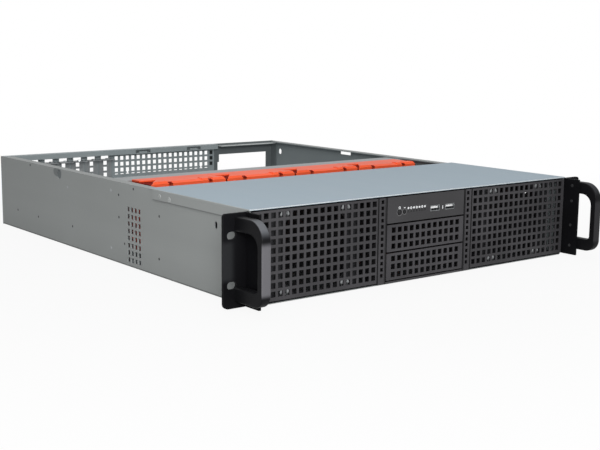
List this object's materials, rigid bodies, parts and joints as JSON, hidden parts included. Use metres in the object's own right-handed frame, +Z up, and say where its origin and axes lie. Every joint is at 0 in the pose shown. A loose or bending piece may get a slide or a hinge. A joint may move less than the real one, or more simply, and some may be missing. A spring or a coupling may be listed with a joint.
{
  "type": "rackmount server case",
  "caption": "Empty 2U rackmount server case without its rear lid: perforated front, D handles on slotted ears, control module, orange fan carriers and vented rear panel.",
  "frame": {"origin": "middle of the base of the whole case, handles included, on the underside of the tray", "axes": "+X to the right seen from the front, +Y from the front to the rear, +Z up"},
  "size_m": [0.4826, 0.5886, 0.088],
  "materials": {
    "grey_steel": "satin paint",
    "dark_steel": "satin",
    "cover_steel": "satin",
    "cover_zinc": "satin",
    "black_steel": "satin",
    "panel_plastic": "satin",
    "button_plastic": "satin",
    "zinc_steel": "zinc",
    "ear_black": "matte",
    "handle_black": "satin",
    "fastener": "zinc",
    "brass": "turned",
    "orange_plastic": "satin",
    "fan_black": "satin",
    "rotor_black": "satin",
    "board_green": "gloss",
    "clear_plastic": "clear",
    "port_metal": "plated",
    "port_plastic": "matte"
  },
  "bodies": {
    "case": {"chassis_tray": "grey_steel", "rear_panel": "dark_steel", "front_cover": "cover_steel", "slot_cover_1": "cover_zinc", "slot_cover_2": "cover_zinc", "slot_cover_3": "cover_zinc", "slot_cover_4": "cover_zinc", "slot_cover_5": "cover_zinc", "slot_cover_6": "cover_zinc", "slot_cover_7": "cover_zinc", "grille_left": "black_steel", "grille_right": "black_steel", "centre_frame": "black_steel", "bay_cover_lower": "black_steel", "bay_cover_upper": "black_steel", "control_panel": "panel_plastic", "bay_cage": "zinc_steel", "drive_cage_left": "zinc_steel", "drive_cage_right": "zinc_steel", "fan_bracket": "zinc_steel", "ear_left": "ear_black", "ear_right": "ear_black", "handle_left": "handle_black", "handle_right": "handle_black", "slot_cover_screws": "fastener", "cover_screws": "fastener", "front_fan_nuts": "fastener", "ear_screws": "fastener", "handle_screws": "fastener", "standoffs": "brass", "fan_frame_1": "orange_plastic", "fan_frame_2": "orange_plastic", "fan_frame_3": "orange_plastic", "fan_frame_4": "orange_plastic", "fan_housing_1": "fan_black", "fan_housing_2": "fan_black", "fan_housing_3": "fan_black", "fan_housing_4": "fan_black", "control_board": "board_green", "light_guides": "clear_plastic", "usb_shell_left": "port_metal", "usb_shell_right": "port_metal", "usb_tongue_left": "port_plastic", "usb_tongue_right": "port_plastic"},
    "power_button": {"power_button": "button_plastic"},
    "reset_button": {"reset_button": "button_plastic"},
    "fan_rotor_1": {"fan_rotor_1": "rotor_black"},
    "fan_rotor_2": {"fan_rotor_2": "rotor_black"},
    "fan_rotor_3": {"fan_rotor_3": "rotor_black"},
    "fan_rotor_4": {"fan_rotor_4": "rotor_black"}
  },
  "joints": [
    {"name": "power_press", "type": "slide", "parent": "case", "child": "power_button", "axis": [0, 1, 0], "range_m": [0, 0.001], "stiffness_N_per_m": 800},
    {"name": "reset_press", "type": "slide", "parent": "case", "child": "reset_button", "axis": [0, 1, 0], "range_m": [0, 0.001], "stiffness_N_per_m": 800},
    {"name": "fan_spin_1", "type": "hinge", "parent": "case", "child": "fan_rotor_1", "pos_m": [-0.1442, -0.02245, 0.044], "axis": [0, 1, 0], "continuous": true},
    {"name": "fan_spin_2", "type": "hinge", "parent": "case", "child": "fan_rotor_2", "pos_m": [-0.0492, -0.02245, 0.044], "axis": [0, 1, 0], "continuous": true},
    {"name": "fan_spin_3", "type": "hinge", "parent": "case", "child": "fan_rotor_3", "pos_m": [0.0458, -0.02245, 0.044], "axis": [0, 1, 0], "continuous": true},
    {"name": "fan_spin_4", "type": "hinge", "parent": "case", "child": "fan_rotor_4", "pos_m": [0.1408, -0.02245, 0.044], "axis": [0, 1, 0], "continuous": true}
  ]
}
